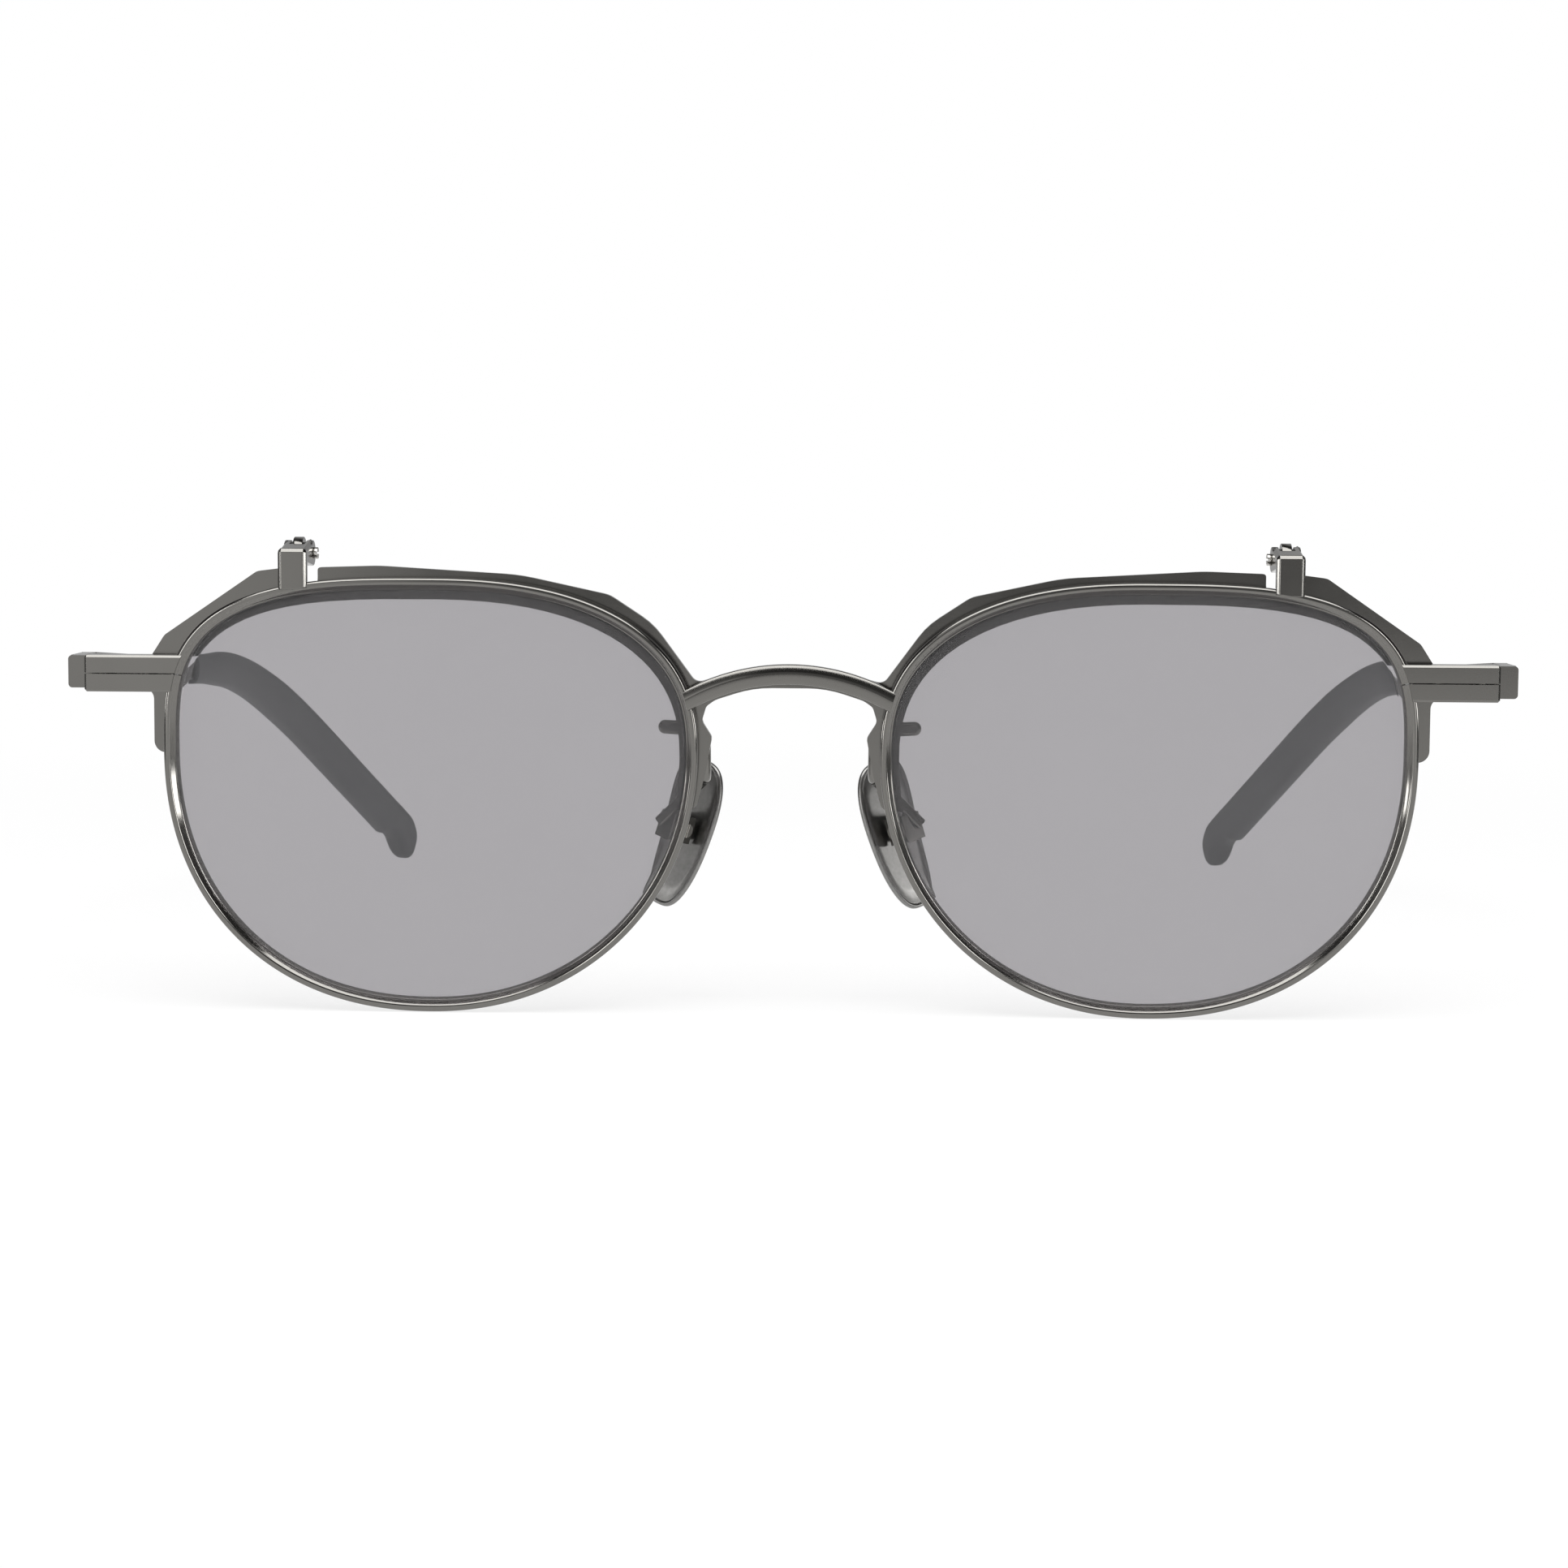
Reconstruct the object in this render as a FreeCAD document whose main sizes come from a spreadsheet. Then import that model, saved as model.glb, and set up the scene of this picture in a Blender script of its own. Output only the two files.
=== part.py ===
import FreeCAD
import Part
import Sketcher
import os
import re
from math import copysign, cos, hypot, pi, radians, sin, tan

from FreeCAD import Placement, Rotation, Vector

# Flip up sunglasses. X runs to the wearer's left, Y to the back of the head, Z up.
# The origin is the middle of the foot print. Depths are counted back from the front plane.
# Each left piece is drawn once and mirrored to the right.

SIZES = (
    # lens opening of one eye
    ("lens_width", 51.8), ("lens_height", 41.8), ("lens_crown", 16.2), ("lens_gap", 20.7),
    ("bowl_nose_power", 2.08), ("bowl_side_power", 2.19), ("crown_nose_power", 2.36),
    ("crown_side_power", 3.1),
    ("lens_thick", 1.4), ("lens_curve", 400.0), ("lens_setback", 0.1), ("lens_play", 0.03),
    # wire rim around the lens
    ("rim_width", 1.15), ("rim_depth", 2.3), ("rim_setback", 0.3), ("rim_bevel", 0.15),
    ("bead_width", 0.5), ("bead_groove", 0.12), ("groove_depth", 0.45), ("groove_width", 0.8),
    ("split_gap", 0.12),
    # lock blocks at the outer ends of the rims
    ("lock_rise", 7.5), ("block_length", 7.9), ("block_height", 3.7), ("block_bevel", 0.22),
    ("band_cover", 0.55), ("lock_screw_radius", 0.45), ("lock_head_radius", 0.75),
    ("lock_head_thick", 0.5), ("lock_screw_edge", 1.8), ("lock_screw_pitch", 4.3),
    # bridge bar between the rims
    ("bridge_level", 7.9), ("bridge_drop", 2.7), ("bridge_height", 2.0), ("bridge_depth", 1.5),
    ("bridge_bevel", 0.45),
    # brow plate that stays on the face
    ("plate_gap", 0.4), ("plate_thick", 1.0), ("plate_reveal", 0.35), ("hole_shift", 0.45),
    ("hole_drop", 0.75), ("brow_rise", 0.9), ("arm_reach", 2.3), ("nose_tab_level", 20.55),
    ("side_tab_level", 26.05), ("side_tab_start", 1.05), ("side_tab_cover", 1.45),
    ("notch_depth", 1.2), ("notch_room", 0.7), ("notch_corner", 1.0),
    # end pieces and temple hinges
    ("arm_height", 3.3), ("arm_wall", 1.5), ("arm_depth", 5.0), ("joint_gap", 0.1),
    ("barrel_radius", 1.15), ("barrel_gap", 0.05), ("leaf_thick", 0.8), ("leaf_length", 3.2),
    ("hinge_height", 2.7), ("hinge_pin_radius", 0.5), ("hinge_head_radius", 0.85),
    ("hinge_head_thick", 0.4),
    # flip hinges above the rims
    ("flip_offset", 13.85), ("axis_rise", 2.3), ("axis_depth", 5.0), ("leg_thick", 1.1),
    ("leg_rise", 2.9), ("leg_foot", 1.3), ("leg_bevel", 0.3), ("ear_radius", 1.3), ("ear_thick", 0.7),
    ("knuckle_radius", 1.65), ("knuckle_width", 1.0), ("washer_thick", 0.2),
    ("washer_radius", 1.1), ("side_play", 0.05), ("flip_pin_radius", 0.4),
    ("flip_head_radius", 0.6), ("flip_head_thick", 0.45), ("foot_width", 2.4),
    ("foot_drop", 2.5), ("running_fit", 0.03),
    # temples and tips
    ("overall_depth", 136.0), ("temple_thick", 1.2), ("temple_height", 2.6),
    ("temple_slope", 3.42), ("temple_inset", 1.02), ("neck_length", 6.0), ("neck_step", 0.4),
    ("tip_start", 57.0), ("bend_radius", 67.8), ("tip_drop", 30.8), ("tip_turn", 19.2),
    ("tip_height", 5.1), ("tip_thick", 3.4), ("tip_mouth_height", 3.5), ("tip_mouth_thick", 2.2),
    ("core_radius", 0.6), ("core_short", 12.0),
    # nose pads and their arms
    ("pad_x", 11.6), ("pad_depth", 12.0), ("pad_level", 17.45), ("pad_turn", 43.0),
    ("pad_lean", 17.0), ("pad_height", 16.0), ("pad_width", 6.95), ("pad_power", 3.2),
    ("pad_taper", 0.18), ("pad_bow", 0.8), ("pad_thick", 0.6), ("pad_edge", 0.2),
    ("pad_roll", 0.45), ("pad_dish", 0.1), ("box_rise", 0.6), ("box_shift", 1.0),
    ("tongue_width", 1.2), ("tongue_height", 2.2), ("tongue_length", 2.3), ("box_gap", 0.1),
    ("box_wall", 0.5), ("box_height", 2.8),
    ("pad_pin_level", 1.5), ("pad_pin_radius", 0.4), ("pad_head_radius", 0.75),
    ("pad_head_thick", 0.35), ("wire_radius", 0.6), ("wire_bend", 1.2), ("wire_end", 0.9),
    ("bar_radius", 0.72), ("bar_drop", 5.7), ("bar_reach", 12.7),
)

doc = FreeCAD.newDocument("flip_up_sunglasses")
sheet = doc.addObject("Spreadsheet::Sheet", "Sizes")
for row, (alias, value) in enumerate(SIZES, 1):
    sheet.set("A%d" % row, alias)
    sheet.set("B%d" % row, str(value))
    sheet.setAlias("B%d" % row, alias)
doc.recompute()
V = {alias: float(sheet.get(alias)) for alias, _ in SIZES}


def tied(text):
    """An expression in size names, written with the sheet's name before each of them."""
    return re.sub(r"[a-z]\w+", lambda word: "Sizes." + word.group(0), text)


# Places that several pieces share, as expressions for the bound sizes.
EYE_X = "(lens_gap / 2 + lens_width / 2)"
RIM_SIDE = "(lens_gap / 2 + lens_width + rim_width)"
RIM_TOP = "(lens_height + 2 * rim_width)"
LOCK_Z = "(lens_height - lens_crown + rim_width + lock_rise)"
RIM_BACK = "(rim_setback + rim_depth)"
PLATE_FRONT = "(rim_setback + rim_depth + plate_gap)"
PLATE_BACK = "(rim_setback + rim_depth + plate_gap + plate_thick)"
BLOCK_END = "(%s + block_length)" % RIM_SIDE
HALF_FRONT = "(%s + arm_reach)" % BLOCK_END
FLIP_X = "(%s + flip_offset)" % EYE_X
FLIP_Z = "(%s + axis_rise)" % RIM_TOP
LEG_WIDTH = "(2 * ear_thick + knuckle_width + 2 * washer_thick + 2 * side_play)"
FRONT = "(-overall_depth / 2)"
JOINT = "(%s + arm_depth)" % PLATE_BACK
ARM_IN = "(%s - arm_wall)" % HALF_FRONT
PIN_X = "(%s - joint_gap - barrel_radius)" % ARM_IN
PIN_Y = "(%s + %s + joint_gap / 2)" % (FRONT, JOINT)

# The same places as numbers, for the freely curved pieces.
eye_x = V["lens_gap"] / 2 + V["lens_width"] / 2
half_w = V["lens_width"] / 2 + V["rim_width"]
crown = V["lens_crown"] + V["rim_width"]
bowl = V["lens_height"] - V["lens_crown"] + V["rim_width"]
rim_top = bowl + crown
lock_z = bowl + V["lock_rise"]
front = -V["overall_depth"] / 2
rim_back = V["rim_setback"] + V["rim_depth"]
plate_front = rim_back + V["plate_gap"]
plate_back = plate_front + V["plate_thick"]
half_front = eye_x + half_w + V["block_length"] + V["arm_reach"]
joint = plate_back + V["arm_depth"]
leg_width = 2 * (V["ear_thick"] + V["washer_thick"] + V["side_play"]) + V["knuckle_width"]
flip_x = eye_x + V["flip_offset"]


def at(x, depth, z):
    return Vector(x, front + depth, z)


def feature(name, shape):
    """A piece whose curved shape is made by the geometry functions directly."""
    obj = doc.addObject("Part::Feature", name)
    obj.Shape = shape
    return obj


def cut(name, base, tool):
    obj = doc.addObject("Part::Cut", name)
    obj.Base = base
    obj.Tool = tool
    doc.recompute()
    return obj


def join(name, links):
    obj = doc.addObject("Part::Compound", name)
    obj.Links = links
    doc.recompute()
    return obj


def mirrored(source, name):
    obj = doc.addObject("Part::Mirroring", name)
    obj.Source = source
    obj.Normal = Vector(1, 0, 0)
    doc.recompute()
    return obj


def new_body(name):
    return doc.addObject("PartDesign::Body", name)


def new_sketch(body, plane, offset):
    """A sketch on one of the body's own planes, moved along its normal by a bound offset."""
    sk = body.newObject("Sketcher::SketchObject", body.Name + "_sketch")
    sk.AttachmentSupport = [(next(f for f in body.Origin.OriginFeatures if f.Role == plane), "")]
    sk.MapMode = "FlatFace"
    sk.setExpression("AttachmentOffset.Base.z", tied(offset))
    return sk


def hold(sk, geo, point, x, y):
    """Ties one point of a sketch to the origin by two bound distances."""
    for kind, text in (("DistanceX", x), ("DistanceY", y)):
        index = sk.addConstraint(Sketcher.Constraint(kind, -1, 1, geo, point, 1.0))
        sk.setExpression("Constraints[%d]" % index, tied(text))


def loop(sk, corners, guess):
    """A closed run of lines, each corner held by bound distances; guess gives start places."""
    spots = [Vector(a, b, 0) for a, b in guess]
    first = sk.GeometryCount
    count = len(corners)
    for k in range(count):
        sk.addGeometry(Part.LineSegment(spots[k], spots[(k + 1) % count]))
    for k in range(count):
        sk.addConstraint(Sketcher.Constraint("Coincident", first + k, 2, first + (k + 1) % count, 1))
    for k, (x, y) in enumerate(corners):
        hold(sk, first + k, 1, x, y)


def rect(sk, x0, y0, x1, y1):
    corners = ((x0, y0), (x1, y0), (x1, y1), (x0, y1))
    loop(sk, corners, ((0, 0), (1, 0), (1, 1), (0, 1)))


def disc(sk, x, y, radius):
    geo = sk.addGeometry(Part.Circle(Vector(0, 0, 0), Vector(0, 0, 1), 1.0))
    index = sk.addConstraint(Sketcher.Constraint("Radius", geo, 1.0))
    sk.setExpression("Constraints[%d]" % index, tied(radius))
    hold(sk, geo, 3, x, y)


def solid_of(body, sk, length, kind="Pad"):
    """Adds (Pad) or removes (Pocket) material along the sketch's normal by a bound length."""
    step = body.newObject("PartDesign::" + kind, body.Name + "_" + kind.lower())
    step.Profile = sk
    step.setExpression("Length", tied(length))
    if kind == "Pocket":
        step.Reversed = True
    body.Tip = step
    doc.recompute()
    return step


def slab(body, plane, start, length, x0, y0, x1, y1, kind="Pad"):
    sk = new_sketch(body, plane, start)
    rect(sk, x0, y0, x1, y1)
    return solid_of(body, sk, length, kind)


def drum(body, plane, start, length, x, y, radius, kind="Pad"):
    sk = new_sketch(body, plane, start)
    disc(sk, x, y, radius)
    return solid_of(body, sk, length, kind)


# Curves and solids around one eye

def eye_curve(shift, depth):
    """The rim's closed outline: four superellipse quarters, moved out from the lens edge."""
    points = []
    for k in range(40):
        c = cos(2 * pi * k / 40)
        s = sin(2 * pi * k / 40)
        high = crown if s >= 0 else bowl
        half = "crown" if s >= 0 else "bowl"
        power = V[half + ("_side_power" if c > 0 else "_nose_power")]
        reach = (abs(c / half_w) ** power + abs(s / high) ** power) ** (-1 / power)
        x = reach * c
        z = reach * s
        nx = copysign(abs(x) ** (power - 1) / half_w ** power, x)
        nz = copysign(abs(z) ** (power - 1) / high ** power, z)
        move = (shift - V["rim_width"]) / hypot(nx, nz)
        points.append(at(eye_x + x + move * nx, depth, bowl + z + move * nz))
    curve = Part.BSplineCurve()
    curve.interpolate(Points=points, PeriodicFlag=True)
    return Part.Wire(curve.toShape())


def eye_plug(shift, start, end):
    face = Part.Face(eye_curve(shift, start))
    return face.extrude(Vector(0, end - start, 0))


def eye_taper(shift0, depth0, shift1, depth1):
    return Part.makeLoft([eye_curve(shift0, depth0), eye_curve(shift1, depth1)], True, True)


def rounded(corners, depth):
    """A closed wire in the front plane; each corner (x, z, r) is rounded by its radius."""
    count = len(corners)
    edges = []
    last = None
    first = None
    for k, (x, z, r) in enumerate(corners):
        here = at(x, depth, z)
        if r <= 0:
            a = b = here
        else:
            before = (at(corners[k - 1][0], depth, corners[k - 1][1]) - here).normalize()
            after = corners[(k + 1) % count]
            after = (at(after[0], depth, after[1]) - here).normalize()
            half = before.getAngle(after) / 2
            a = here + before * (r / tan(half))
            b = here + after * (r / tan(half))
            middle = (before + after).normalize()
            mid = here + middle * (r / sin(half) - r)
        if last is not None:
            edges.append(Part.LineSegment(last, a).toShape())
        if r > 0:
            edges.append(Part.Arc(a, mid, b).toShape())
        last = b
        first = a if first is None else first
    edges.append(Part.LineSegment(last, first).toShape())
    return Part.Wire(edges)


def plate_of(corners, start, thick):
    return Part.Face(rounded(corners, start)).extrude(Vector(0, thick, 0))


def bent_path(points, radius):
    """Straight runs through the points, joined by tangent arcs of one radius."""
    edges = []
    last = points[0]
    for k in range(1, len(points) - 1):
        here = points[k]
        before = (points[k - 1] - here).normalize()
        after = (points[k + 1] - here).normalize()
        half = before.getAngle(after) / 2
        a = here + before * (radius / tan(half))
        b = here + after * (radius / tan(half))
        mid = here + (before + after).normalize() * (radius / sin(half) - radius)
        edges.append(Part.LineSegment(last, a).toShape())
        edges.append(Part.Arc(a, mid, b).toShape())
        last = b
    edges.append(Part.LineSegment(last, points[-1]).toShape())
    return Part.Wire(edges)


def rod(points, bend, radius):
    """A round wire along a bent path."""
    path = bent_path(points, bend)
    ring = Part.Wire(Part.makeCircle(radius, points[0], points[1] - points[0]))
    return path.makePipeShell([ring], True, False)


# Rim, with a beaded front, a groove for the lens and a split at the lock line
f0 = V["rim_setback"]
bevel = V["rim_bevel"]
bead = V["bead_width"]
mid_groove = f0 + V["rim_depth"] / 2
half_groove = V["groove_width"] / 2
rim = eye_taper(V["rim_width"] - bevel, f0, V["rim_width"], f0 + bevel)
rim = rim.fuse(eye_plug(V["rim_width"], f0 + bevel, rim_back)).removeSplitter()
rim = rim.cut(eye_plug(0, f0 - 1, rim_back + 1))
rim = rim.cut(eye_taper(bevel, f0, 0, f0 + bevel))
line = eye_plug(bead + V["bead_groove"], f0 - 1, f0 + V["bead_groove"])
rim = rim.cut(line.cut(eye_plug(bead, f0 - 2, f0 + 1)))
rim = rim.cut(eye_taper(0, mid_groove - half_groove, V["groove_depth"], mid_groove))
rim = rim.cut(eye_taper(V["groove_depth"], mid_groove, 0, mid_groove + half_groove))
slot = Part.makeBox(half_w, V["rim_depth"] + 2, V["split_gap"])
slot.translate(at(eye_x + 0.5 * half_w, f0 - 1, lock_z - V["split_gap"] / 2))
rim_left = feature("rim_left", rim.cut(slot))
rim_right = mirrored(rim_left, "rim_right")

# Lens, a domed sheet with a ridge that sits in the groove
play = V["lens_play"]
blank = eye_plug(-play, f0 - 1, rim_back + 1)
blank = blank.fuse(eye_taper(-play, mid_groove - half_groove, V["groove_depth"] - play, mid_groove))
blank = blank.fuse(eye_taper(V["groove_depth"] - play, mid_groove, -play, mid_groove + half_groove))
ball = at(eye_x, V["lens_setback"] + V["lens_curve"], rim_top / 2)
blank = blank.common(Part.makeSphere(V["lens_curve"], ball))
blank = blank.cut(Part.makeSphere(V["lens_curve"] - V["lens_thick"], ball))
lens_left = feature("lens_left", blank)
lens_right = mirrored(lens_left, "lens_right")

# Everything inside the band that blocks, bridge and legs may cover
core_left = feature("eye_core_left", eye_plug(V["rim_width"] - V["band_cover"], -5, rim_back + 1))
core_right = mirrored(core_left, "eye_core_right")
eyes = join("eye_cores", [core_left, core_right, rim_left, rim_right])

# Lock blocks, upper and lower, closed by two upright screws
block_start = "%s - band_cover - rim_width - 3" % RIM_SIDE
blocks = {}
for half_name, low, high in (
        ("upper", "%s + split_gap / 2" % LOCK_Z, "%s + block_height / 2" % LOCK_Z),
        ("lower", "%s - block_height / 2" % LOCK_Z, "%s - split_gap / 2" % LOCK_Z)):
    body = new_body("lock_block_%s_blank" % half_name)
    block = slab(body, "YZ_Plane", block_start, "%s - (%s)" % (BLOCK_END, block_start),
                 FRONT, low, "%s + %s" % (FRONT, RIM_BACK), high)
    outer = lock_z + copysign(V["block_height"] / 2, 1 if half_name == "upper" else -1)
    end_x = eye_x + half_w + V["block_length"]
    names = []
    for n, edge in enumerate(block.Shape.Edges, 1):
        middle = edge.CenterOfMass
        on_front = abs(middle.y - front) < 1e-6
        if on_front and (abs(middle.z - outer) < 1e-6 or abs(middle.x - end_x) < 1e-6):
            names.append("Edge%d" % n)
        elif abs(middle.x - end_x) < 1e-6 and abs(middle.z - outer) < 1e-6:
            names.append("Edge%d" % n)
    soft = body.newObject("PartDesign::Chamfer", body.Name + "_bevel")
    soft.Base = (block, names)
    soft.setExpression("Size", tied("block_bevel"))
    body.Tip = soft
    doc.recompute()
    for k in range(2):
        x = "%s - lock_screw_edge - %d * lock_screw_pitch" % (BLOCK_END, k)
        y = "%s + %s / 2" % (FRONT, RIM_BACK)
        drum(body, "XY_Plane", low, "block_height", x, y, "lock_screw_radius + running_fit",
             "Pocket")
        if half_name == "lower":
            drum(body, "XY_Plane", low, "lock_head_thick + running_fit", x, y,
                 "lock_head_radius + running_fit", "Pocket")
    left = cut("lock_block_%s_left" % half_name, body, eyes)
    blocks[half_name] = (left, mirrored(left, "lock_block_%s_right" % half_name))

screws = []
for k in range(2):
    body = new_body("lock_screw_%d" % k)
    x = "%s - lock_screw_edge - %d * lock_screw_pitch" % (BLOCK_END, k)
    y = "%s + %s / 2" % (FRONT, RIM_BACK)
    foot = "%s - block_height / 2" % LOCK_Z
    drum(body, "XY_Plane", foot, "lock_head_thick", x, y, "lock_head_radius")
    drum(body, "XY_Plane", foot, "block_height", x, y, "lock_screw_radius")
    slab(body, "XY_Plane", foot, "lock_head_thick / 2", x + " - lock_head_radius",
         y + " - lock_screw_radius / 4", x + " + lock_head_radius",
         y + " + lock_screw_radius / 4", "Pocket")
    screws += [body, mirrored(body, "lock_screw_%d_right" % k)]
lock_screws = join("lock_screws", screws)

# Bridge bar, an arched bar turned about a centre below it
body = new_body("front_bridge_blank")
sk = new_sketch(body, "YZ_Plane", "0")
mid = "(lens_height - lens_crown + rim_width + bridge_level)"
y0 = FRONT
y1 = FRONT + " + bridge_depth"
z0 = mid + " - bridge_height / 2"
z1 = mid + " + bridge_height / 2"
cut_in = " + bridge_bevel"
cut_out = " - bridge_bevel"
loop(sk, ((y0 + cut_in, z0), (y1 + cut_out, z0), (y1, z0 + cut_in), (y1, z1 + cut_out),
          (y1 + cut_out, z1), (y0 + cut_in, z1), (y0, z1 + cut_out), (y0, z0 + cut_in)),
     ((-1, -2), (1, -2), (2, -1), (2, 1), (1, 2), (-1, 2), (-2, 1), (-2, -1)))
axis = sk.addGeometry(Part.LineSegment(Vector(-9, -9, 0), Vector(9, -9, 0)), True)
arch = "((lens_gap / 2) ^ 2 + bridge_drop ^ 2) / (2 * bridge_drop)"
hold(sk, axis, 1, FRONT, "%s - %s" % (mid, arch))
hold(sk, axis, 2, FRONT + " + 9", "%s - %s" % (mid, arch))
turn = body.newObject("PartDesign::Revolution", "front_bridge_turn")
turn.Profile = sk
turn.ReferenceAxis = (sk, ["Axis0"])
turn.Midplane = True
turn.setExpression("Angle", "2 * asin(%s) + 6 deg" % tied("lens_gap / 2 / (%s)" % arch))
body.Tip = turn
doc.recompute()
front_bridge = cut("front_bridge", body, eyes)

# Flip brackets, a leg on each rim bent back into two ears
body = new_body("flip_bracket_blank")
start = "%s - %s / 2" % (FLIP_X, LEG_WIDTH)
ay = "%s + axis_depth" % FRONT
sk = new_sketch(body, "YZ_Plane", start)
foot = "%s - leg_foot" % RIM_TOP
loop(sk, ((FRONT, foot), (FRONT + " + leg_thick", foot),
          (FRONT + " + leg_thick", FLIP_Z + " - ear_radius + 0.4"), (ay, FLIP_Z + " - ear_radius"),
          (ay, FLIP_Z + " + ear_radius"), (FRONT + " + leg_thick", "%s + leg_rise" % RIM_TOP),
          (FRONT + " + leg_thick / 3", "%s + leg_rise" % RIM_TOP),
          (FRONT, "%s + leg_rise - leg_thick / 3" % RIM_TOP)),
     ((0, -4), (1, -4), (1, -1), (5, -1), (5, 1), (1, 2), (0.5, 2), (0, 1)))
leg = solid_of(body, sk, LEG_WIDTH)
names = []
for n, edge in enumerate(leg.Shape.Edges, 1):
    middle = edge.CenterOfMass
    on_side = abs(abs(middle.x - flip_x) - leg_width / 2) < 1e-6
    ahead = middle.y < front + 0.9 * V["leg_thick"]
    above = middle.z > rim_top + V["axis_rise"] and middle.y < front + 0.9 * V["axis_depth"]
    if on_side and middle.z > rim_top and (ahead or above):
        names.append("Edge%d" % n)
soft = body.newObject("PartDesign::Chamfer", body.Name + "_bevel")
soft.Base = (leg, names)
soft.setExpression("Size", tied("leg_bevel"))
body.Tip = soft
doc.recompute()
drum(body, "YZ_Plane", start, LEG_WIDTH, ay, FLIP_Z, "ear_radius")
slab(body, "YZ_Plane", start + " + ear_thick", LEG_WIDTH + " - 2 * ear_thick",
     ay + " - knuckle_radius - 0.2", FLIP_Z + " - 3", ay + " + 3", FLIP_Z + " + 3", "Pocket")
drum(body, "YZ_Plane", start, LEG_WIDTH, ay, FLIP_Z, "flip_pin_radius + running_fit", "Pocket")
flip_bracket_left = cut("flip_bracket_left", body, eyes)
flip_bracket_right = mirrored(flip_bracket_left, "flip_bracket_right")

# Flip knuckles, standing on the back of the brow plate between the ears
body = new_body("flip_knuckle_left")
start = "%s - knuckle_width / 2" % FLIP_X
back = "%s + %s" % (FRONT, PLATE_BACK)
drum(body, "YZ_Plane", start, "knuckle_width", ay, FLIP_Z, "knuckle_radius")
slab(body, "YZ_Plane", start, "knuckle_width", back, "%s - foot_drop" % RIM_TOP,
     back + " + plate_thick", FLIP_Z)
slab(body, "YZ_Plane", "%s - foot_width / 2" % FLIP_X, "foot_width", back,
     "%s - foot_drop" % RIM_TOP, back + " + plate_thick", "%s - notch_depth - 0.2" % RIM_TOP)
drum(body, "YZ_Plane", start, "knuckle_width", ay, FLIP_Z, "flip_pin_radius + running_fit",
     "Pocket")
flip_knuckle_left = body
flip_knuckle_right = mirrored(body, "flip_knuckle_right")

# Flip hinge screws and friction washers
body = new_body("flip_screw")
start = "%s - %s / 2" % (FLIP_X, LEG_WIDTH)
drum(body, "YZ_Plane", start, LEG_WIDTH, ay, FLIP_Z, "flip_pin_radius")
drum(body, "YZ_Plane", start + " - flip_head_thick", "flip_head_thick", ay, FLIP_Z,
     "flip_head_radius")
slab(body, "YZ_Plane", start + " - flip_head_thick", "flip_head_thick / 2",
     ay + " - flip_head_radius", FLIP_Z + " - flip_pin_radius / 4", ay + " + flip_head_radius",
     FLIP_Z + " + flip_pin_radius / 4", "Pocket")
flip_screws = join("flip_hinge_screws", [body, mirrored(body, "flip_screw_right")])
rings = []
for side, start in (("in", "%s - knuckle_width / 2 - side_play - washer_thick" % FLIP_X),
                    ("out", "%s + knuckle_width / 2 + side_play" % FLIP_X)):
    body = new_body("flip_washer_" + side)
    drum(body, "YZ_Plane", start, "washer_thick", ay, FLIP_Z, "washer_radius")
    drum(body, "YZ_Plane", start, "washer_thick", ay, FLIP_Z, "flip_pin_radius + running_fit",
         "Pocket")
    rings += [body, mirrored(body, "flip_washer_%s_right" % side)]
flip_washers = join("flip_hinge_washers", rings)


# Brow plate, one flat sheet behind both rims, open below the eyes
def brow(share_x, share_z, radius):
    return (eye_x + share_x * half_w, bowl + share_z * crown, radius)


mid_z = bowl + V["bridge_level"]
nose_x = V["lens_gap"] / 2 - V["rim_width"]
bar_z = mid_z - V["bar_drop"]
rim_side = eye_x + half_w
tab_x = rim_side + V["side_tab_cover"]
arm_low = lock_z - V["arm_height"] / 2
arm_high = lock_z + V["arm_height"] / 2
notch_in = flip_x - leg_width / 2 - V["notch_room"]
notch_out = flip_x + leg_width / 2 + V["joint_gap"]
notch_z = rim_top - V["notch_depth"]
brow_z = rim_top + V["brow_rise"]
half_plate = [
    (0.22 * V["lens_gap"], mid_z + 0.3, 6.0),
    brow(-0.989, 0.394, 1.0), brow(-0.828, 0.735, 8.0), brow(-0.663, 0.904, 3.0),
    brow(-0.324, 1.017, 20.0), brow(0.205, 1.064, 20.0),
    (notch_in, brow_z, 0.3), (notch_in, notch_z, V["notch_corner"]), (notch_out, notch_z, 0.3),
    (notch_out, brow_z - 0.1, 0.2), brow(0.661, 1.028, 1.2), brow(1.012, 0.651, 1.2),
    (tab_x + 0.25, arm_high, 0.4), (half_front, arm_high, 0.4), (half_front, arm_low, 0.4),
    (tab_x, arm_low, 1.1), (tab_x, V["side_tab_level"], 1.2),
    (eye_x, V["side_tab_level"], 0), (eye_x, V["nose_tab_level"], 0),
    (nose_x + 0.3, V["nose_tab_level"], 1.2), (nose_x - 0.65, V["nose_tab_level"] + 3.7, 6.0),
    (nose_x - 1.35, bar_z - 0.9, 0.8), (nose_x - 0.3, bar_z + 0.75, 0.9),
    (nose_x - 0.75, bar_z + 2.25, 0.8), (nose_x - 1.65, bar_z + 2.9, 2.5),
    (0.18 * V["lens_gap"], mid_z - 1.55, 12.0),
]
whole = half_plate + [(-x, z, r) for x, z, r in reversed(half_plate)]
plate = plate_of(whole, plate_front, V["plate_thick"])
hole = eye_plug(-V["plate_reveal"], plate_front - 1, plate_back + 1)
hole.translate(Vector(V["hole_shift"], 0, -V["hole_drop"]))
trim = eye_plug(V["side_tab_start"], plate_front - 1, plate_back + 1)
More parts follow.
